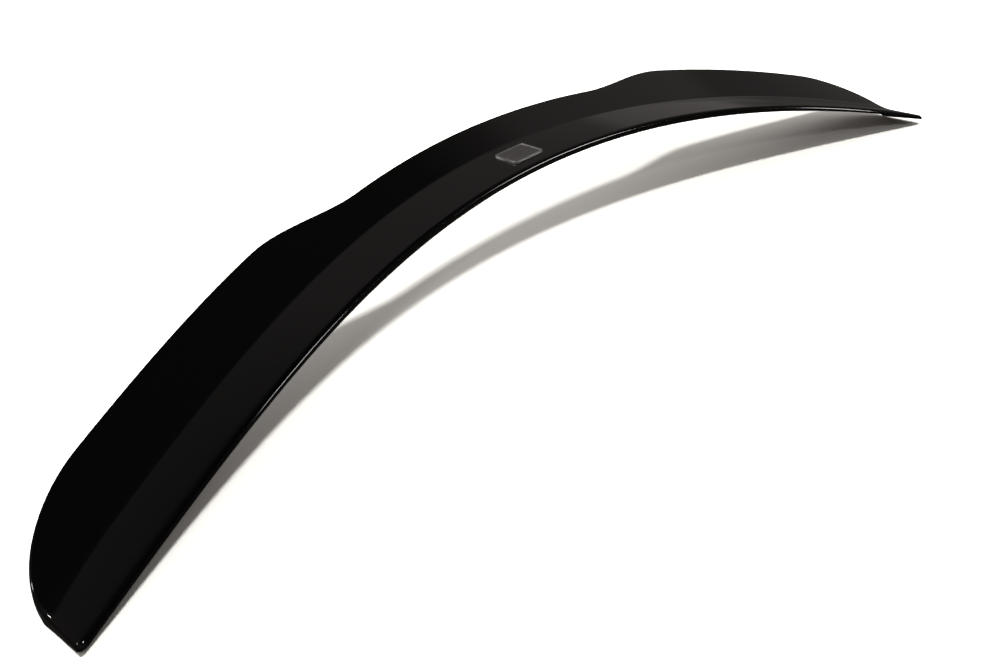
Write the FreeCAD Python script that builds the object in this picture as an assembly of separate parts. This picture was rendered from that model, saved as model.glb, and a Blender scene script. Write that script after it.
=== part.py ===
import FreeCAD, Part
import math
import os

V = FreeCAD.Vector

# Driving dimensions, in mm and degrees. X runs across, +Y to the front, Z up.
# The part is the same on both sides, so one half is made and mirrored.

# Trailing edge: one bowed curve from tip to tip
half_width = 600.0        # where the curve reaches its full sweep and drop
plan_sweep = 110.7        # tips behind the middle of the edge
arch_rise = 101.6         # middle of the edge above the tips
sweep_fullness = 1.37     # 1 is a parabola; more bends the middle first
rise_fullness = 1.01
tip_reach = 603.2         # where the end line would meet the trailing edge

# Lip: the strip behind the crease, about level where the flange slopes
lip_chord_mid = 52.1
lip_chord_tip = 47.3
lip_pitch_mid = -0.5      # positive rises to the front
lip_pitch_tip = -2.7

# Flange: the strip in front of the crease that is bonded down
flange_pitch = 20.8
flange_waist = 36.4       # chord in the middle
flange_lobe = 56.8        # chord of the wide end lobes
flare_from = 167.0        # the waist starts to widen here
flare_to = 292.5          # and is a full lobe here
end_lean = 6.0            # the end line leans in by this, from the tip to the crease
lobe_round = 85.9         # length of the lobe's rounded end
lobe_end = tip_reach - end_lean            # the crease runs out here
lobe_round_from = lobe_end - lobe_round    # and the rounded end starts here

# Sheet, its crease and its rolled rim
wall = 3.2
crease_radius_mid = 9.0
crease_radius_tip = 18.0
roll_radius = 4.0         # rim along the rear and the ends, fading round the lobe
edge_round = 0.8          # rim along the front
tip_radius = 5.2          # plan corner of the lip's end
rear_drop_mid = 7.5       # top of the sheet to the rim's lower edge, at the rear,
rear_drop_tip = 4.4
end_drop = 10.0           # at the crease's ends, on which the part stands,
front_drop = 2.2          # and at the front, where the sheet is thinned
draw_depth = 26.0         # how deep the sheet is drawn before it is trimmed

# Badge plate, bare, stuck on the lip
badge_length = 41.0
badge_depth = 27.0
badge_height = 1.8
badge_corner = 3.5
badge_rim = 1.8
badge_recess = 0.6
badge_place = 0.52        # share of the lip's chord, from the rear
badge_edge = 0.5

# Working values
margin = 10.0             # how far a block reaches past what trims it
stations = 17             # sections of a loft
edge_points = 12          # points on a stretch of the plan outline


def bow(x, fullness):
    s = abs(x) / half_width
    return fullness * s ** 2 + (1 - fullness) * s ** 4


def blend(x, middle, tip):
    return middle + (tip - middle) * (x / half_width) ** 2


def smooth(t):
    t = min(max(t, 0.0), 1.0)
    return t * t * (3 - 2 * t)


def trailing(x):
    """Rear corner of the sheet's top, before it is rounded, as (y, z)."""
    y = -plan_sweep * bow(x, sweep_fullness)
    z = arch_rise * (1 - bow(x, rise_fullness)) + blend(x, rear_drop_mid, rear_drop_tip)
    return y, z


def lip_pitch(x):
    return math.radians(blend(x, lip_pitch_mid, lip_pitch_tip))


def crease(x):
    """Corner where lip and flange would meet, as (y, z)."""
    y, z = trailing(x)
    chord = blend(x, lip_chord_mid, lip_chord_tip)
    return y + chord * math.cos(lip_pitch(x)), z + chord * math.sin(lip_pitch(x))


def open_chord(x):
    """Chord of the flange, before the lobe's end is rounded."""
    t = (abs(x) - flare_from) / (flare_to - flare_from)
    return flange_waist + (flange_lobe - flange_waist) * smooth(t)


# The datum is the middle of the flange's underside, where the part is bonded
pitch = math.radians(flange_pitch)
along = (math.cos(pitch), math.sin(pitch))
datum_y = crease(0)[0] + flange_waist / 2 * along[0] + wall * along[1]
datum_z = crease(0)[1] + flange_waist / 2 * along[1] - wall * along[0]


def at(x, y, z):
    return V(x, y - datum_y, z - datum_z)


def loft(make_section):
    reach = tip_reach + margin
    step = 2 * reach / (stations - 1)
    return Part.makeLoft([make_section(i * step - reach) for i in range(stations)], True)


def block_section(x, depth, below):
    """Section of a block whose top is the sheet's top, or its underside at depth wall."""
    lip = lip_pitch(x)
    cy, cz = crease(x)
    radius = blend(x, crease_radius_mid, crease_radius_tip)
    tangent = radius * math.tan((pitch - lip) / 2)
    axis_y = cy - tangent * math.cos(lip) - radius * math.sin(lip)
    axis_z = cz - tangent * math.sin(lip) + radius * math.cos(lip)

    def fold(angle):
        out = radius + depth
        return at(x, axis_y + out * math.sin(angle), axis_z - out * math.cos(angle))

    rear_run = blend(x, lip_chord_mid, lip_chord_tip) + margin
    front_run = flange_lobe + margin
    rear = fold(lip) - V(0, math.cos(lip), math.sin(lip)) * rear_run
    front = fold(pitch) + V(0, along[0], along[1]) * front_run
    low = V(0, 0, -below)
    return Part.Wire([
        Part.makeLine(rear, fold(lip)),
        Part.Arc(fold(lip), fold((lip + pitch) / 2), fold(pitch)).toShape(),
        Part.makeLine(fold(pitch), front),
        Part.makeLine(front, front + low),
        Part.makeLine(front + low, rear + low),
        Part.makeLine(rear + low, rear),
    ])


def plan_curve(points, start_way, end_way, inset):
    """Smooth plan curve through points, then moved inwards by inset."""
    curve = Part.BSplineCurve()
    curve.interpolate(Points=[at(x, y, -3 * draw_depth) for x, y in points],
                      InitialTangent=start_way, FinalTangent=end_way)
    if not inset:
        return curve
    moved = []
    steps = 2 * len(points)
    for i in range(steps + 1):
        u = curve.FirstParameter + (curve.LastParameter - curve.FirstParameter) * i / steps
        way = curve.tangent(u)[0]
        moved.append(curve.value(u) + V(way.y, -way.x, 0) * inset)
    curve = Part.BSplineCurve()
    curve.interpolate(Points=moved, InitialTangent=start_way, FinalTangent=end_way)
    return curve


def half_outline(inset):
    """Plan outline of the right half: front, lobe and end line, tip corner, rear."""
    front = []
    for i in range(2 * edge_points + 1):
        x = lobe_round_from * i / (2 * edge_points)
        front.append((x, crease(x)[0] + open_chord(x) * along[0]))
    lobe_way = V(1, crease(lobe_round_from + 1)[0] - crease(lobe_round_from)[0], 0).normalize()
    end = []
    for i in range(edge_points - 1):
        angle = math.pi / 2 * i / edge_points
        x = lobe_round_from + (lobe_end - lobe_round_from) * math.sin(angle)
        end.append((x, crease(x)[0] + flange_lobe * math.cos(angle) * along[0]))
    top = V(lobe_end, crease(lobe_end)[0], 0)
    tip = V(tip_reach, trailing(tip_reach)[0], 0)
    end_way = (tip - top).normalize()
    rear_way = V(-1, trailing(tip_reach - 1)[0] - tip.y, 0).normalize()
    half_angle = rear_way.getAngle(end_way * -1) / 2
    touch = tip_radius / math.tan(half_angle)
    inwards = (rear_way - end_way).normalize()
    centre = tip + inwards * (tip_radius / math.sin(half_angle))
    corner_start = tip - end_way * touch
    corner_end = tip + rear_way * touch
    for share in (0.35, 0.65, 1.0):
        p = top + (corner_start - top) * share
        end.append((p.x, p.y))
    rear = [(corner_end.x, corner_end.y)]
    for i in range(1, edge_points + 1):
        x = corner_end.x * (1 - i / edge_points)
        rear.append((x, trailing(x)[0]))
    lead = plan_curve(front, V(1, 0, 0), lobe_way, inset)
    lobe = plan_curve(end, lobe_way, end_way, inset)
    back = plan_curve(rear, rear_way, V(-1, 0, 0), inset)
    middle = at(centre.x, centre.y, -3 * draw_depth) - inwards * (tip_radius - inset)
    corner = Part.Arc(lobe.value(lobe.LastParameter), middle, back.value(back.FirstParameter))
    close = Part.makeLine(back.value(back.LastParameter), lead.value(lead.FirstParameter))
    return Part.Wire([lead.toShape(), lobe.toShape(), corner.toShape(), back.toShape(), close])


def half_block(inset, depth, below):
    tall = V(0, 0, arch_rise + 8 * draw_depth)
    block = loft(lambda x: block_section(x, depth, below))
    return block.common(Part.Face(half_outline(inset)).extrude(tall))


def faces_up(face):
    u0, u1, v0, v1 = face.ParameterRange
    return face.normalAt((u0 + u1) / 2, (v0 + v1) / 2).z > 0.2


def rounded_rim(block):
    """Round the edge between a half block's top and its walls, from the rear to the front."""
    radii = []
    for number, edge in enumerate(block.Edges, 1):
        sides = [faces_up(f) for f in block.Faces if any(edge.isSame(e) for e in f.Edges)]
        middle = edge.valueAt((edge.FirstParameter + edge.LastParameter) / 2)
        x, y = middle.x, middle.y + datum_y
        if sorted(sides) != [False, True] or x < 1:
            continue
        if y < crease(x)[0] + crease_radius_tip / 4:
            radii.append((number, roll_radius, roll_radius))
        elif x > lobe_round_from:
            radii.append((number, roll_radius, edge_round))
        else:
            radii.append((number, edge_round, edge_round))
    document = FreeCAD.newDocument("rim")
    base = document.addObject("Part::Feature", "base")
    base.Shape = block
    rim = document.addObject("Part::Fillet", "rim")
    rim.Base = base
    rim.Edges = radii
    document.recompute()
    return rim.Shape.copy()


def trim_section(x):
    """Section of all that lies below the rim's lower edge."""
    rear_y, rear_z = trailing(x)
    fold_y, fold_z = crease(x)
    chord = open_chord(x)
    rear = at(x, rear_y, rear_z - blend(x, rear_drop_mid, rear_drop_tip))
    fold = at(x, fold_y, fold_z - end_drop)
    front = at(x, fold_y + chord * along[0], fold_z + chord * along[1] - front_drop)
    rear = rear + (rear - fold) * 0.4
    front = front + (front - fold) * 0.4
    low = V(0, 0, -3 * draw_depth)
    return Part.makePolygon([rear, fold, front, front + low, rear + low, rear])


def both_halves(half):
    """Join a half and its mirror image where they meet on the mid plane."""
    skin = [f for f in half.Faces if max(abs(v.X) for v in f.Vertexes) > 0.01]
    mirrored = [f.mirror(V(0, 0, 0), V(1, 0, 0)) for f in skin]
    joined = Part.makeCompound(skin + mirrored)
    joined.sewShape()
    solid = Part.makeSolid(joined.Shells[0])
    if solid.Volume < 0:
        solid.reverse()
    return solid


# Shell: the drawn block is hollowed, its rim rounded, and the rim's lower edge trimmed
half = half_block(0, 0.0, draw_depth).cut(half_block(wall, wall, 3 * draw_depth))
half = rounded_rim(half).cut(loft(trim_section))
shell = both_halves(half)

# Badge plate, cut to sit on the lip
tilt = FreeCAD.Rotation(V(1, 0, 0), math.degrees(lip_pitch(0)))
ty, tz = trailing(0)
run = badge_place * lip_chord_mid
seat = at(0, ty + run * math.cos(lip_pitch(0)), tz + run * math.sin(lip_pitch(0)))


def plate(inset, low, high):
    long = badge_length / 2 - inset
    deep = badge_depth / 2 - inset
    block = Part.makeBox(2 * long, 2 * deep, high - low, V(-long, -deep, low))
    upright = [e for e in block.Edges if abs(e.tangentAt(e.FirstParameter).z) > 0.9]
    return block.makeFillet(badge_corner - inset, upright)


badge = plate(0, -wall / 2, badge_height)
rim_edges = [e for e in badge.Edges if e.CenterOfMass.z > badge_height - 0.01]
badge = badge.makeFillet(badge_edge, rim_edges)
badge = badge.cut(plate(badge_rim, badge_height - badge_recess, badge_height + 1))
badge.Placement = FreeCAD.Placement(seat, tilt)
badge = badge.cut(shell)

os.makedirs("parts", exist_ok=True)
shell.exportStep("parts/lip_shell.step")
badge.exportStep("parts/badge_plate.step")
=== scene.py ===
# %% [markdown]
# # A spoiler extension, dressed for its portrait
# The part is a strip of black ABS sheet, heated and drawn over a mould, then trimmed by a router. It is bonded
# along the rear edge of a car's spoiler. A flange slopes forward from a crease, a level lip runs behind it, and
# the lip's rear edge and ends are rolled over. A small bare plate is stuck on the middle.
#
# The solids come in as a fixed frame, and everything made here is in the same frame, in metres.

# %% Load the frame
import math

import bmesh
import bpy
from mathutils import Matrix, Vector, geometry


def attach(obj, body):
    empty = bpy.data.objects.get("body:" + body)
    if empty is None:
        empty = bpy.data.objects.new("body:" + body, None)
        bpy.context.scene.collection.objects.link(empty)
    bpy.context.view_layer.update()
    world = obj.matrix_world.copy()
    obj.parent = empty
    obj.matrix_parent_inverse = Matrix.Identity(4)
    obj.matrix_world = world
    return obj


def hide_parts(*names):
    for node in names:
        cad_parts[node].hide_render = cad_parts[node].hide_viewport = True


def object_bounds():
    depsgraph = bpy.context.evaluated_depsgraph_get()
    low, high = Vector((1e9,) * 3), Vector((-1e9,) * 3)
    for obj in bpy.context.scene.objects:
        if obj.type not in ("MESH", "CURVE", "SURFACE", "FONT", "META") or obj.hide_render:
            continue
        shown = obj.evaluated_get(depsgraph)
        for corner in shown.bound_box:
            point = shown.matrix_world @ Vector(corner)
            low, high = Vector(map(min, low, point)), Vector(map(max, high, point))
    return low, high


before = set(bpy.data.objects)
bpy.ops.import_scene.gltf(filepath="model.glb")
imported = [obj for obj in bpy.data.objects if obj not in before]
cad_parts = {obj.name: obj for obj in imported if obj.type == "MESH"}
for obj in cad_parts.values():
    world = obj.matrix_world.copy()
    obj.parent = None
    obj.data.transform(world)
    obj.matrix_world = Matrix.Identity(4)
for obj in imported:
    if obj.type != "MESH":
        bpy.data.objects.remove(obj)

cad_low, cad_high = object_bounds()
print("CAD box, mm:", [round(1000 * side) for side in cad_high - cad_low])

# %% [markdown]
# ## Sizes
# These are the sizes the mould and the router work to, in millimetres. Each curve is a short formula of x, the
# distance from the mid plane, so a few numbers hold the whole shape. The frame's origin is the middle of the
# flange's underside, so every point is shifted there at the end.

# %% Sizes, in mm and degrees
MM = 0.001
HALF_WIDTH = 600.0
PLAN_SWEEP, SWEEP_FULLNESS = 110.7, 1.37
ARCH_RISE, RISE_FULLNESS = 101.6, 1.01
TIP_REACH, TIP_RADIUS = 603.2, 5.2
LIP_CHORD_MID, LIP_CHORD_TIP = 52.1, 47.3
LIP_PITCH_MID, LIP_PITCH_TIP = -0.5, -2.7
FLANGE_PITCH = math.radians(20.8)
FLANGE_WAIST, FLANGE_LOBE = 36.4, 56.8
FLARE_FROM, FLARE_TO = 167.0, 292.5
LOBE_ROUND_FROM, LOBE_END = 511.3, 597.2
WALL = 3.2
CREASE_RADIUS_MID, CREASE_RADIUS_TIP = 9.0, 18.0
ROLL_RADIUS, EDGE_ROUND = 4.0, 1.2
REAR_DROP_MID, REAR_DROP_TIP = 7.5, 4.4
END_DROP, FRONT_DROP = 10.0, 2.2


def bow(x, fullness):
    s = abs(x) / HALF_WIDTH
    return fullness * s ** 2 + (1 - fullness) * s ** 4


def blend(x, middle, tip):
    return middle + (tip - middle) * (x / HALF_WIDTH) ** 2


def smooth(t):
    t = min(max(t, 0.0), 1.0)
    return t * t * (3 - 2 * t)


def trailing(x):
    z = ARCH_RISE * (1 - bow(x, RISE_FULLNESS)) + blend(x, REAR_DROP_MID, REAR_DROP_TIP)
    return -PLAN_SWEEP * bow(x, SWEEP_FULLNESS), z


def lip_pitch(x):
    return math.radians(blend(x, LIP_PITCH_MID, LIP_PITCH_TIP))


def crease(x):
    y, z = trailing(x)
    chord = blend(x, LIP_CHORD_MID, LIP_CHORD_TIP)
    return y + chord * math.cos(lip_pitch(x)), z + chord * math.sin(lip_pitch(x))


def open_chord(x):
    flare = smooth((abs(x) - FLARE_FROM) / (FLARE_TO - FLARE_FROM))
    return FLANGE_WAIST + (FLANGE_LOBE - FLANGE_WAIST) * flare


DATUM_Y = crease(0)[0] + FLANGE_WAIST / 2 * math.cos(FLANGE_PITCH) + WALL * math.sin(FLANGE_PITCH)
DATUM_Z = crease(0)[1] + FLANGE_WAIST / 2 * math.sin(FLANGE_PITCH) - WALL * math.cos(FLANGE_PITCH)


def at(x, y, z):
    return Vector((x, y - DATUM_Y, z - DATUM_Z)) * MM


print("trailing edge drops", round(ARCH_RISE), "mm to the tip and sweeps back", round(PLAN_SWEEP), "mm")

# %% [markdown]
# ## Camera
# The photograph looks down from behind the left end. The angles and the distance come from fitting the two
# mirrored halves to the picture: a lens of 1400 pixels on a picture 1000 pixels wide is 50.4 mm on a 36 mm sensor.

# %% Camera
VIEW_AZIMUTH = math.radians(-50.18)
VIEW_ELEVATION = math.radians(29.68)
FOCAL_PIXELS, PICTURE_WIDTH, SENSOR = 1400, 1000, 36.0
CAMERA_PLACE = (-943.2, -736.5, 609.0)

back = Vector((math.sin(VIEW_AZIMUTH) * math.cos(VIEW_ELEVATION),
               -math.cos(VIEW_AZIMUTH) * math.cos(VIEW_ELEVATION),
               math.sin(VIEW_ELEVATION)))
camera = bpy.data.objects.new("camera", bpy.data.cameras.new("camera"))
camera.data.sensor_width = SENSOR
camera.data.lens = FOCAL_PIXELS / PICTURE_WIDTH * SENSOR
camera.location = at(*CAMERA_PLACE)
camera.rotation_mode = "QUATERNION"
camera.rotation_quaternion = (-back).to_track_quat("-Z", "Y")
bpy.context.scene.collection.objects.link(camera)
bpy.context.scene.camera = camera
bpy.context.scene.view_settings.view_transform = "Standard"
print("lens", round(camera.data.lens, 1), "mm at", [round(v, 3) for v in camera.location])

# %% [markdown]
# ## Two helpers
# Colours are written as sRGB hex, as a colour picker shows them, and Blender works in linear light. One function
# turns one into the other. The second adds a shader node, sets its sockets and links what is handed to it.

# %% Helpers
def linear(hex_colour):
    channels = [int(hex_colour[i:i + 2], 16) / 255 for i in (1, 3, 5)]
    return tuple(c / 12.92 if c <= 0.04045 else ((c + 0.055) / 1.055) ** 2.4 for c in channels) + (1.0,)


def add_node(tree, kind, settings=None, **sockets):
    node = tree.nodes.new(kind)
    for name, value in (settings or {}).items():
        setattr(node, name, value)
    for name, value in sockets.items():
        key = int(name[1:]) if name[1:].isdigit() else name.replace("_", " ")
        socket = node.inputs[key]
        if isinstance(value, bpy.types.NodeSocket):
            tree.links.new(value, socket)
        else:
            socket.default_value = value
    return node


def new_material(name):
    material = bpy.data.materials.new(name)
    material.use_nodes = True
    material.node_tree.nodes.clear()
    return material, material.node_tree


print("black ABS in linear light:", [round(c, 4) for c in linear("#0B0B0C")[:3]])

# %% [markdown]
# ## Floor
# The strip stands on matt white paper. In the photograph the paper is burnt out to plain white, and only where
# both lamps are hidden does it turn grey. More light would do that too, but would also change the part. So the
# paper has a second, brighter colour that camera rays alone see, and everything else is lit by the plain one. From
# about two metres out they see plain white, so the paper has no far edge.
# Gloss black would mirror a white floor that runs on for ever, which the photograph doesn't show: there a dim room
# lies beyond the paper. So the wide floor stays out of the gloss, and a sheet the size of the real one is in it.

# %% Floor and paper
FLOOR_SIDE = 14.0
PAPER_SEEN = 2.4
WHITE_FROM, WHITE_TO = 1.6, 2.6
SHEET_FROM, SHEET_TO = (-0.75, -0.60), (0.60, -0.03)


def flat_sheet(name, middle, width, depth):
    made = bmesh.new()
    bmesh.ops.create_grid(made, x_segments=1, y_segments=1, size=0.5,
                          matrix=Matrix.Translation(middle) @ Matrix.Diagonal((width, depth, 1, 1)))
    mesh = bpy.data.meshes.new(name)
    made.to_mesh(mesh)
    made.free()
    sheet = bpy.data.objects.new(name, mesh)
    bpy.context.scene.collection.objects.link(sheet)
    return sheet


paper, tree = new_material("matt_white_paper")
white = linear("#F6F4EE")
plain = add_node(tree, "ShaderNodeBsdfDiffuse", Color=white)
burnt_out = add_node(tree, "ShaderNodeBsdfDiffuse", Color=[PAPER_SEEN * c for c in white[:3]] + [1])
rays = add_node(tree, "ShaderNodeLightPath")
spot = add_node(tree, "ShaderNodeTexCoord").outputs["Object"]
away = add_node(tree, "ShaderNodeVectorMath", {"operation": "LENGTH"}, _0=spot).outputs["Value"]
far = add_node(tree, "ShaderNodeMapRange", {"interpolation_type": "SMOOTHSTEP"}, Value=away,
               From_Min=WHITE_FROM, From_Max=WHITE_TO)
beyond = add_node(tree, "ShaderNodeEmission", Color=(1, 1, 1, 1), Strength=1.0)
seen = add_node(tree, "ShaderNodeMixShader", Fac=far.outputs[0], _1=burnt_out.outputs[0], _2=beyond.outputs[0])
mix = add_node(tree, "ShaderNodeMixShader", Fac=rays.outputs["Is Camera Ray"], _1=plain.outputs[0],
               _2=seen.outputs[0])
add_node(tree, "ShaderNodeOutputMaterial", Surface=mix.outputs[0])

floor = flat_sheet("floor", (0, 0, cad_low.z), FLOOR_SIDE, FLOOR_SIDE)
floor.visible_glossy = False
sheet_middle = [(a + b) / 2 for a, b in zip(SHEET_FROM, SHEET_TO)]
sheet = flat_sheet("paper_in_the_gloss", (*sheet_middle, cad_low.z), SHEET_TO[0] - SHEET_FROM[0],
                   SHEET_TO[1] - SHEET_FROM[1])
sheet.visible_camera = False
sheet.visible_diffuse = False
sheet.visible_shadow = False
for stage in (floor, sheet):
    stage.data.materials.append(paper)
print("floor at z =", round(cad_low.z, 4), "m")

# %% [markdown]
# ## Lamps
# Two soft lamps hang over the part, one behind it and one to its left. Their places come from the two edges of
# the shadow, each of which is thrown by one lamp. A weak lamp beside the camera gives the shadow its second tone,
# and a wide light on the ceiling fills it. Gloss black would mirror these as white patches, so all but the left
# lamp stay out of the gloss. Two more lamps are there for the gloss alone. The rolled edge bends like an S and
# mirrors the far one on the right three times, as thin bright lines. The one in front makes a glint where the
# crease runs out.

# %% Lamps
def add_lamp(name, towards, distance, width, watts, on_paper=True, in_gloss=True):
    lamp = bpy.data.objects.new(name, bpy.data.lights.new(name, "AREA"))
    lamp.data.shape = "DISK"
    lamp.data.size = width
    lamp.data.energy = watts
    lamp.visible_diffuse = on_paper
    lamp.visible_glossy = in_gloss
    direction = Vector(towards).normalized()
    lamp.location = at(0, 0, 0) + direction * distance
    lamp.rotation_mode = "QUATERNION"
    lamp.rotation_quaternion = (-direction).to_track_quat("-Z", "Y")
    bpy.context.scene.collection.objects.link(lamp)


add_lamp("rear_lamp", (-0.03, -0.52, 1), 5.5, 0.35, 120, in_gloss=False)
add_lamp("left_lamp", (-0.52, 0.01, 1), 3.8, 0.35, 57)
add_lamp("weak_lamp", (-0.587, -0.492, 0.643), 4.0, 0.3, 8, in_gloss=False)
add_lamp("ceiling", (0, 0, 1), 2.6, 5.0, 24, in_gloss=False)
add_lamp("right_lamp", (0.715, -0.678, 0.17), 10.0, 0.91, 45, on_paper=False)
add_lamp("front_lamp", (-0.70, 0.632, 0.329), 4.3, 0.3, 9, on_paper=False)
print("two lamps for the shadow, two that fill it and two for the gloss")

# %% [markdown]
# ## Room
# Gloss black shows whatever it faces. The near half of the flange faces a dark ceiling, and the lip and the far
# half face dim walls. Two paler patches on the right show in the far half, and two wide darker ones keep the end
# and the rear edge black. Camera rays pass the room by and see plain white, which carries on from the paper.

# %% Room
# height of a direction, from straight down to straight up, and the room's tone there
ROOM_TONES = ((-1.0, 0.05), (-0.2, 0.074), (-0.06, 0.068), (0.02, 0.12), (0.15, 0.125), (0.34, 0.115),
              (0.46, 0.125), (0.62, 0.128), (0.68, 0.092), (0.74, 0.036), (1.0, 0.03))
# direction of a patch, the angles where it is full and gone, and the tone it adds
PATCHES = (((0.852, 0.51, 0.125), 5, 8.5, 0.085), ((0.81, 0.20, 0.55), 6.5, 9.8, 0.065),
           ((-0.72, 0.65, 0.20), 20, 40, -0.025), ((0.60, -0.75, 0.20), 35, 60, -0.07))

world = bpy.data.worlds.new("dim_studio")
world.use_nodes = True
tree = world.node_tree
tree.nodes.clear()
where = add_node(tree, "ShaderNodeTexCoord").outputs["Generated"]
height = add_node(tree, "ShaderNodeSeparateXYZ", Vector=where).outputs["Z"]
spread = add_node(tree, "ShaderNodeMapRange", From_Min=-1.0, Value=height).outputs[0]
ramp = add_node(tree, "ShaderNodeValToRGB", Fac=spread)
stops = ramp.color_ramp.elements
while len(stops) < len(ROOM_TONES):
    stops.new(0.5)
for stop, (up, tone) in zip(stops, ROOM_TONES):
    stop.position = (up + 1) / 2
    stop.color = (tone, tone, tone, 1)
tones = ramp.outputs["Color"]


def add_patch_of_light(tones, towards, inner, outer, tone):
    """Add a soft round patch to the room: full inside one angle, gone outside the other."""
    facing = add_node(tree, "ShaderNodeVectorMath", {"operation": "DOT_PRODUCT"}, _0=where,
                      _1=Vector(towards).normalized()).outputs["Value"]
    patch = add_node(tree, "ShaderNodeMapRange", {"interpolation_type": "SMOOTHSTEP"}, Value=facing,
                     From_Min=math.cos(math.radians(outer)), From_Max=math.cos(math.radians(inner)), To_Max=tone)
    return add_node(tree, "ShaderNodeMath", {"operation": "ADD"}, _0=tones, _1=patch.outputs[0]).outputs[0]


for patch in PATCHES:
    tones = add_patch_of_light(tones, *patch)
background = add_node(tree, "ShaderNodeBackground", Color=linear("#FFF6F2"), Strength=tones)
rays = add_node(tree, "ShaderNodeLightPath")
beyond = add_node(tree, "ShaderNodeBackground", Color=(1, 1, 1, 1), Strength=1.0)
mix = add_node(tree, "ShaderNodeMixShader", Fac=rays.outputs["Is Camera Ray"], _1=background.outputs[0],
               _2=beyond.outputs[0])
add_node(tree, "ShaderNodeOutputWorld", Surface=mix.outputs[0])
bpy.context.scene.world = world
print("room of", len(stops), "tones and", len(PATCHES), "patches")

# %% [markdown]
# ## The sheet as three heights
# Seen from above, every point of the part has a height for its top, for its underside and for the line where the
# router cut it. At one x the top is a straight lip, a round crease and a straight flange, so its height is a
# line, an arc and a line. The underside is the same with a larger crease radius, one sheet lower. Two small forms
# are added: the crease widens where it runs out, and the lip sags a little before the rim at the two ends.

# %% Heights
CREASE_FADE_FROM, CREASE_FADE = 525.0, 40.0
SAG_FROM, SAG_FULL, SAG_WIDTH, SAG = 250.0, 480.0, 7.0, 0.45


def lip_sag(x, y):
    """How far the hot sheet sags before the rim, along the rear of the two ends."""
    near = 1 - (y - trailing(x)[0]) / SAG_WIDTH
    return SAG * smooth((abs(x) - SAG_FROM) / (SAG_FULL - SAG_FROM)) * max(near, 0.0) ** 2


def sheet_height(x, y, depth=0.0):
    """Height of the top, or of the underside at depth WALL."""
    lip = lip_pitch(x)
    fold_y, fold_z = crease(x)
    fade = min(max((abs(x) - CREASE_FADE_FROM) / (LOBE_END - CREASE_FADE_FROM), 0.0), 1.0)
    radius = blend(x, CREASE_RADIUS_MID, CREASE_RADIUS_TIP) + CREASE_FADE * fade ** 2
    tangent = radius * math.tan((FLANGE_PITCH - lip) / 2)
    axis_y = fold_y - tangent * math.cos(lip) - radius * math.sin(lip)
    axis_z = fold_z - tangent * math.sin(lip) + radius * math.cos(lip)
    radius += depth
    drop = 0.0 if depth else lip_sag(x, y)
    for pitch, past in ((lip, y < axis_y + radius * math.sin(lip)),
                        (FLANGE_PITCH, y > axis_y + radius * math.sin(FLANGE_PITCH))):
        if past:
            run = y - axis_y - radius * math.sin(pitch)
            return axis_z - radius * math.cos(pitch) + run * math.tan(pitch) - drop
    return axis_z - math.sqrt(radius ** 2 - (y - axis_y) ** 2) - drop


def cut_height(x, y):
    """Height of the router's cut: deepest at the crease, rising to the rear and the front."""
    rear_y, rear_z = trailing(x)
    fold_y, fold_z = crease(x)
    chord = open_chord(x)
    rear_z -= blend(x, REAR_DROP_MID, REAR_DROP_TIP)
    front_z = fold_z + chord * math.sin(FLANGE_PITCH) - FRONT_DROP
    fold_z -= END_DROP
    if y < fold_y:
        return fold_z + (rear_z - fold_z) * (fold_y - y) / (fold_y - rear_y)
    return fold_z + (front_z - fold_z) * (y - fold_y) / (chord * math.cos(FLANGE_PITCH))


def under_height(x, y):
    return max(sheet_height(x, y, WALL), cut_height(x, y))


print("sheet at the middle of the lip:", round(sheet_height(0, 25) - under_height(0, 25), 2), "mm thick")

# %% [markdown]
# ## The outline from above
# Rear and front edges are curves of x. The end of the part is a side of its own: a small round at the tip, a
# straight end line, a soft turn at the crease and a quarter of an ellipse round the lobe. It is kept as a list of
# points with the direction that leads out of the part and the radius of the rolled rim there.

# %% Outline
def rear_edge(x):
    return trailing(x)[0]


def front_edge(x):
    return crease(x)[0] + open_chord(x) * math.cos(FLANGE_PITCH)


def lobe_point(angle):
    x = LOBE_ROUND_FROM + (LOBE_END - LOBE_ROUND_FROM) * math.sin(angle)
    return Vector((x, crease(x)[0] + FLANGE_LOBE * math.cos(FLANGE_PITCH) * math.cos(angle)))


TIP_STEPS, LINE_STEPS, TURN_STEPS, LOBE_STEPS = 10, 6, 48, 16
LINE_SHARE, LOBE_TURN = 0.35, math.radians(75)

fold_end = Vector((LOBE_END, crease(LOBE_END)[0]))
tip = Vector((TIP_REACH, rear_edge(TIP_REACH)))
end_way = (tip - fold_end).normalized()
rear_way = Vector((-1, rear_edge(TIP_REACH - 1) - tip.y)).normalized()
half_angle = rear_way.angle(-end_way) / 2
centre = tip + (rear_way - end_way).normalized() * TIP_RADIUS / math.sin(half_angle)
line_start = tip - end_way * TIP_RADIUS / math.tan(half_angle)
line_end = fold_end.lerp(line_start, LINE_SHARE)
spoke = tip + rear_way * TIP_RADIUS / math.tan(half_angle) - centre
sweep = math.pi - 2 * half_angle

side = []
for i in range(TIP_STEPS):
    side.append(centre + Matrix.Rotation(sweep * i / TIP_STEPS, 2) @ spoke)
for i in range(LINE_STEPS):
    side.append(line_start.lerp(line_end, i / LINE_STEPS))
lobe_start = lobe_point(LOBE_TURN)
lobe_way = (lobe_point(LOBE_TURN - 0.01) - lobe_start).normalized()
pull = (lobe_start - line_end).length / 3
side += geometry.interpolate_bezier(line_end, line_end - end_way * pull, lobe_start - lobe_way * pull,
                                    lobe_start, TURN_STEPS)
for i in range(1, LOBE_STEPS + 1):
    side.append(lobe_point(LOBE_TURN * (1 - i / LOBE_STEPS)))

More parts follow.
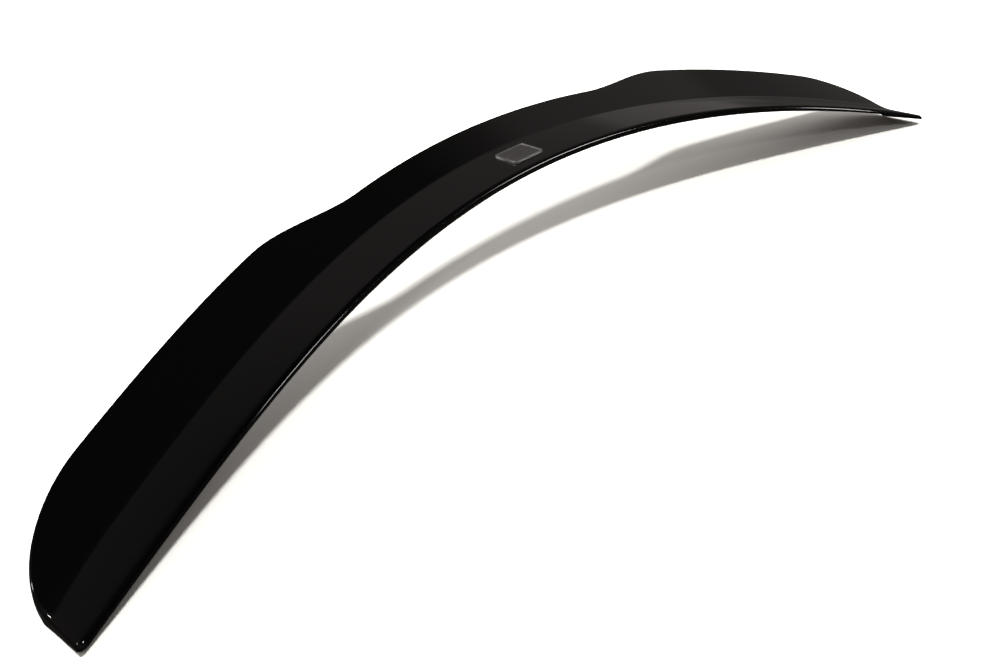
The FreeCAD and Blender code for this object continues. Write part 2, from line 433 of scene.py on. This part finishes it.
LAST = len(side) - 1
ways = [(side[min(i + 1, LAST)] - side[max(i - 1, 0)]).normalized() for i in range(len(side))]
ways[0], ways[LAST] = -rear_way, Vector((-1, front_edge(side[LAST].x - 1) - side[LAST].y)).normalized()
outwards = [Vector((way.y, -way.x)) for way in ways]
past_fold = next(i for i, p in enumerate(side) if p.y > crease(p.x)[0] + ROLL_RADIUS)
runs = [sum((side[j] - side[j - 1]).length for j in range(past_fold + 1, i + 1)) for i in range(len(side))]
rolls = [ROLL_RADIUS + (EDGE_ROUND - ROLL_RADIUS) * run / runs[LAST] for run in runs]
print(len(side), "points on each end, the tip's at x =", round(max(p.x for p in side), 1), "mm")

# %% [markdown]
# ## One patch
# The top and the underside are each a grid of four-sided faces. A row of the grid runs across the part at a fixed
# share of the lip or of the flange and stops at one of the side's points, so no row ends inside the sheet and
# the gloss has no pinch to show. Vertices on the border also remember the outline beside them.

# %% Patch
COLUMNS = 220
AT_END = 0.9999


def share(x, y):
    run = y - crease(x)[0]
    return run / (crease(x)[0] - rear_edge(x) if run < 0 else front_edge(x) - crease(x)[0])


def row_y(x, part):
    return crease(x)[0] + part * (crease(x)[0] - rear_edge(x) if part < 0 else front_edge(x) - crease(x)[0])


def beside(row, u, x):
    """Outline point beside a border vertex, and the way out of the part."""
    if abs(u) > AT_END:
        flip = Vector((math.copysign(1, u), 1))
        return side[row] * flip, outwards[row] * flip
    edge = front_edge if row else rear_edge
    out = Vector((edge(x + 1) - edge(x - 1), -2)).normalized() * (-1 if row else 1)
    x += out.x * rolls[row]
    return Vector((x, edge(x))), out


def add_patch(made, insets, height):
    """Add a grid that stops short of the outline by insets. Returns its border vertices."""
    ends = [side[row] - outwards[row] * insets[row] for row in range(len(side))]
    parts = [share(end.x, end.y) for end in ends]
    border = {}
    for vert in bmesh.ops.create_grid(made, x_segments=COLUMNS, y_segments=LAST, size=1.0)["verts"]:
        u, row = vert.co.x, round((vert.co.y + 1) / 2 * LAST)
        spot = Vector((u * ends[row].x, 0))
        spot.y = row_y(spot.x, parts[row])
        if row in (0, LAST) or abs(u) > AT_END:
            edge, out = beside(row, u, spot.x)
            spot = edge - out * insets[row]
            border[vert] = (edge, out, insets[row])
        vert.co = at(spot.x, spot.y, height(spot.x, spot.y))
    return border


made = bmesh.new()
ring = add_patch(made, rolls, sheet_height)
print("top patch:", len(made.faces), "faces,", len(ring), "vertices on its border")

# %% [markdown]
# ## The rolled rim
# The border is extruded outwards and down in small turns, which is the quarter round the hot sheet takes over the
# mould's edge. It then drops to the router's cut, and turns in by one sheet. The rim is tall where the crease runs
# out, and those two corners are the feet the part stands on.

# %% Rim
GLOSS, CUT, GRAIN = 0, 1, 2
RIM_STEPS = 8
ROLL_SHARE = 0.88


def extrude_ring(made, ring, finish, place):
    """Extrude the ring's edges once and move each new vertex to its place."""
    edges = [e for e in made.edges if e.is_boundary and e.verts[0] in ring and e.verts[1] in ring]
    new = bmesh.ops.extrude_edge_only(made, edges=edges)["geom"]
    moved = {}
    for vert in (g for g in new if isinstance(g, bmesh.types.BMVert)):
        source = next(v for e in vert.link_edges for v in e.verts if v in ring)
        moved[vert] = ring[source]
        vert.co = at(*place(*ring[source]))
    for face in {f for vert in moved for f in vert.link_faces}:
        face.material_index = finish
    return moved


def on_roll(turn):
    def place(edge, out, roll):
        spot = edge - out * roll * (1 - math.sin(turn))
        room = sheet_height(edge.x, edge.y) - cut_height(edge.x, edge.y)
        return spot.x, spot.y, sheet_height(spot.x, spot.y) - min(roll, ROLL_SHARE * room) * (1 - math.cos(turn))
    return place


for i in range(1, RIM_STEPS + 1):
    ring = extrude_ring(made, ring, GLOSS, on_roll(math.pi / 2 * i / RIM_STEPS))
ring = extrude_ring(made, ring, GLOSS, lambda edge, out, roll: (edge.x, edge.y, cut_height(edge.x, edge.y)))


def turned_in(edge, out, roll):
    spot = edge - out * WALL
    return spot.x, spot.y, cut_height(spot.x, spot.y)


ring = extrude_ring(made, ring, CUT, turned_in)
print("with its rim:", len(made.faces), "faces")

# %% [markdown]
# ## The underside
# The underside is a second patch, one sheet lower, whose border is the same number of vertices. Bridging the two
# loops makes the inside of the rim. Along the front the rim has no height left, so there the two loops fall on each
# other and are merged. The result is one closed skin.

# %% Underside
MERGE = 0.02
SHELL_SHARP = math.radians(38)

rim_and_top = set(made.faces)
add_patch(made, [WALL] * len(side), under_height)
loops = [e for e in made.edges if e.is_boundary]
bmesh.ops.bridge_loops(made, edges=loops)
for face in made.faces:
    if face not in rim_and_top:
        face.material_index = GRAIN
bmesh.ops.remove_doubles(made, verts=made.verts, dist=MERGE * MM)
bmesh.ops.dissolve_degenerate(made, dist=MERGE * MM, edges=made.edges)
bmesh.ops.recalc_face_normals(made, faces=made.faces)
for face in made.faces:
    face.smooth = True
for edge in made.edges:
    edge.smooth = edge.is_manifold and edge.calc_face_angle(0.0) < SHELL_SHARP
print("shell:", len(made.faces), "faces, open edges:", sum(not e.is_manifold for e in made.edges))

shell_mesh = bpy.data.meshes.new("lip_shell_sheet")
made.to_mesh(shell_mesh)
made.free()
shell = bpy.data.objects.new("lip_shell_sheet", shell_mesh)
bpy.context.scene.collection.objects.link(shell)
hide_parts("lip_shell")
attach(shell, "root")

# %% [markdown]
# ## Gloss black ABS
# The sheet is black ABS with a clear acrylic cap, so its top is as glossy as paint. Its own colour is almost black
# and all the tone comes from the room in its gloss. A sheet that was heated and drawn is never quite flat: a faint
# orange peel, a few millimetres from hump to hump, makes the reflections swim a little. Handling leaves a haze.

# %% Gloss
PEEL, PEEL_HEIGHT, HAZE = 5.0, 0.002, 45.0
CLEAN, HAZED = 0.03, 0.075

gloss, tree = new_material("gloss_black_abs")
where = add_node(tree, "ShaderNodeTexCoord").outputs["Object"]
peel = add_node(tree, "ShaderNodeTexNoise", Vector=where, Scale=1 / (PEEL * MM), Detail=1.0)
haze = add_node(tree, "ShaderNodeTexNoise", Vector=where, Scale=1 / (HAZE * MM), Detail=4.0)
rough = add_node(tree, "ShaderNodeMapRange", Value=haze.outputs[0], From_Min=0.35, From_Max=0.7,
                 To_Min=CLEAN, To_Max=HAZED)
bump = add_node(tree, "ShaderNodeBump", Height=peel.outputs[0], Strength=1.0, Distance=PEEL_HEIGHT * MM)
shader = add_node(tree, "ShaderNodeBsdfPrincipled", Base_Color=linear("#020202"), IOR=1.5,
                  Roughness=rough.outputs[0], Normal=bump.outputs[0])
add_node(tree, "ShaderNodeOutputMaterial", Surface=shader.outputs[0])
print("orange peel of", PEEL, "mm")

# %% [markdown]
# ## Router-cut edge and grained back
# The router's cutter leaves a satin edge with fine upright strokes, a shade greyer than the gloss. The back of the
# sheet lay against nothing, and keeps the fine hair-cell grain that the maker rolled into it. The real strokes are
# about 0.4 mm apart, and are drawn twice as coarse so that they show.

# %% Cut and grain
STROKE, STROKE_HEIGHT = 0.8, 0.05
HAIR_CELL, HAIR_CELL_HEIGHT = 1.4, 0.05
ONE_BAND = 0.314    # at this scale the wave texture has one band to a unit

cut, tree = new_material("router_cut_black_abs")
where = add_node(tree, "ShaderNodeTexCoord").outputs["Object"]
strokes = add_node(tree, "ShaderNodeTexWave", {"bands_direction": "X"}, Vector=where,
                   Scale=ONE_BAND / (STROKE * MM), Distortion=2.0, Detail=2.0)
tone = add_node(tree, "ShaderNodeValToRGB", Fac=strokes.outputs["Fac"])
tone.color_ramp.elements[0].color = linear("#0C0C0C")
tone.color_ramp.elements[1].color = linear("#1A1A1B")
bump = add_node(tree, "ShaderNodeBump", Height=strokes.outputs["Fac"], Strength=0.3,
                Distance=STROKE_HEIGHT * MM)
shader = add_node(tree, "ShaderNodeBsdfPrincipled", Base_Color=tone.outputs["Color"], Roughness=0.45, IOR=1.5,
                  Normal=bump.outputs[0])
add_node(tree, "ShaderNodeOutputMaterial", Surface=shader.outputs[0])

grain, tree = new_material("grained_black_abs")
where = add_node(tree, "ShaderNodeTexCoord").outputs["Object"]
cells = add_node(tree, "ShaderNodeTexVoronoi", {"feature": "SMOOTH_F1"}, Vector=where, Scale=1 / (HAIR_CELL * MM))
tone = add_node(tree, "ShaderNodeValToRGB", Fac=cells.outputs["Distance"])
tone.color_ramp.elements[0].color = linear("#151516")
tone.color_ramp.elements[1].color = linear("#09090A")
rough = add_node(tree, "ShaderNodeMapRange", Value=cells.outputs["Distance"], To_Min=0.42, To_Max=0.62)
bump = add_node(tree, "ShaderNodeBump", {"invert": True}, Height=cells.outputs["Distance"], Strength=0.6,
                Distance=HAIR_CELL_HEIGHT * MM)
shader = add_node(tree, "ShaderNodeBsdfPrincipled", Base_Color=tone.outputs["Color"],
                  Roughness=rough.outputs[0], IOR=1.5, Normal=bump.outputs[0])
add_node(tree, "ShaderNodeOutputMaterial", Surface=shader.outputs[0])

for material in (gloss, cut, grain):
    shell_mesh.materials.append(material)
print("shell finishes:", [m.name for m in shell_mesh.materials])

# %% [markdown]
# ## The plate
# A pressed aluminium plate is glued to the middle of the lip, bare. It is a box with rounded corners, whose top is
# inset to leave a raised rim round a sunk face. The plate is flat and the lip under it bows by a tenth of a
# millimetre, so the plate is made that much deeper and its middle sinks into the sheet.

# %% Plate
PLATE_LENGTH, PLATE_DEPTH, PLATE_HEIGHT, PLATE_PLACE = 41.0, 27.0, 1.8, 0.52
PLATE_CORNER, PLATE_RIM, PLATE_SLOPE, PLATE_RECESS, PLATE_EDGE = 3.5, 1.8, 0.35, 0.6, 0.4
PLATE_SHARP = math.radians(35)
FACE, RIM = 0, 1

made = bmesh.new()
bmesh.ops.create_cube(made, size=1.0)
bow_under = trailing(0)[1] - trailing(PLATE_LENGTH / 2)[1]
bmesh.ops.scale(made, verts=made.verts,
                vec=(PLATE_LENGTH * MM, PLATE_DEPTH * MM, (PLATE_HEIGHT + bow_under) * MM))
bmesh.ops.translate(made, verts=made.verts, vec=(0, 0, (PLATE_HEIGHT - bow_under) / 2 * MM))
upright = [e for e in made.edges if abs(e.verts[0].co.z - e.verts[1].co.z) > MM]
bmesh.ops.bevel(made, geom=upright, offset=PLATE_CORNER * MM, offset_type="OFFSET", affect="EDGES", segments=8,
                profile=0.5, material=-1)
for face in made.faces:
    face.material_index = RIM
top = max(made.faces, key=lambda face: face.calc_center_median().z)
bmesh.ops.inset_region(made, faces=[top], thickness=PLATE_RIM * MM, use_even_offset=True)
bmesh.ops.inset_region(made, faces=[top], thickness=PLATE_SLOPE * MM, depth=-PLATE_RECESS * MM,
                       use_even_offset=True)
top.material_index = FACE
level = PLATE_HEIGHT * MM
rim_edges = [e for e in made.edges if all(abs(v.co.z - level) < 1e-6 for v in e.verts)
             and any(abs(f.normal.z) < 0.99 for f in e.link_faces)]
bmesh.ops.bevel(made, geom=rim_edges, offset=PLATE_EDGE * MM, offset_type="OFFSET", affect="EDGES", segments=3,
                profile=0.5, material=-1)
bmesh.ops.recalc_face_normals(made, faces=made.faces)
run = PLATE_PLACE * LIP_CHORD_MID
seat = at(0, trailing(0)[0] + run * math.cos(lip_pitch(0)), trailing(0)[1] + run * math.sin(lip_pitch(0)))
made.transform(Matrix.Translation(seat) @ Matrix.Rotation(lip_pitch(0), 4, "X"))
for face in made.faces:
    face.smooth = True
for edge in made.edges:
    edge.smooth = edge.calc_face_angle(0.0) < PLATE_SHARP
plate_mesh = bpy.data.meshes.new("bare_plate")
made.to_mesh(plate_mesh)
print("plate:", len(made.faces), "faces, open edges:", sum(not e.is_manifold for e in made.edges))
made.free()
plate = bpy.data.objects.new("bare_plate", plate_mesh)
bpy.context.scene.collection.objects.link(plate)
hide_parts("badge_plate")
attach(plate, "root")

# %% [markdown]
# ## Brushed aluminium, and a rim with painted sheen
# The sunk face is brushed along its length, so its gloss is broken into fine lines and it looks grey. The rim is
# the same aluminium, rolled by the press, and catches more of the room: that sheen is painted into its colour,
# which is paler than the face's. Brush lines are about 0.1 mm apart, and are drawn at 0.5 mm so that they show.

# %% Aluminium
BRUSH_ACROSS, BRUSH_ALONG, BRUSH_HEIGHT = 0.5, 30.0, 0.01
SCUFF = 2.0

brushed, tree = new_material("brushed_aluminium")
where = add_node(tree, "ShaderNodeTexCoord").outputs["Object"]
stretched = add_node(tree, "ShaderNodeMapping", Vector=where,
                     Scale=(1 / (BRUSH_ALONG * MM), 1 / (BRUSH_ACROSS * MM), 1 / (BRUSH_ALONG * MM)))
lines = add_node(tree, "ShaderNodeTexNoise", Vector=stretched.outputs[0], Scale=1.0, Detail=3.0)
tone = add_node(tree, "ShaderNodeValToRGB", Fac=lines.outputs[0])
tone.color_ramp.elements[0].position, tone.color_ramp.elements[1].position = 0.3, 0.7
tone.color_ramp.elements[0].color = linear("#8E8C8C")
tone.color_ramp.elements[1].color = linear("#C4C2C1")
rough = add_node(tree, "ShaderNodeMapRange", Value=lines.outputs[0], To_Min=0.25, To_Max=0.45)
bump = add_node(tree, "ShaderNodeBump", Height=lines.outputs[0], Strength=0.4, Distance=BRUSH_HEIGHT * MM)
shader = add_node(tree, "ShaderNodeBsdfPrincipled", Base_Color=tone.outputs["Color"], Metallic=1.0,
                  Roughness=rough.outputs[0], Normal=bump.outputs[0])
add_node(tree, "ShaderNodeOutputMaterial", Surface=shader.outputs[0])

bright, tree = new_material("aluminium_rim_with_painted_sheen")
where = add_node(tree, "ShaderNodeTexCoord").outputs["Object"]
scuffs = add_node(tree, "ShaderNodeTexNoise", Vector=where, Scale=1 / (SCUFF * MM), Detail=3.0)
rough = add_node(tree, "ShaderNodeMapRange", Value=scuffs.outputs[0], To_Min=0.32, To_Max=0.5)
# painted sheen: the rim's colour is paler than the face's, to stand for the room it catches
shader = add_node(tree, "ShaderNodeBsdfPrincipled", Base_Color=linear("#D6D5D4"), Metallic=1.0,
                  Roughness=rough.outputs[0])
add_node(tree, "ShaderNodeOutputMaterial", Surface=shader.outputs[0])
for material in (brushed, bright):
    plate_mesh.materials.append(material)
print("plate finishes:", [m.name for m in plate_mesh.materials])
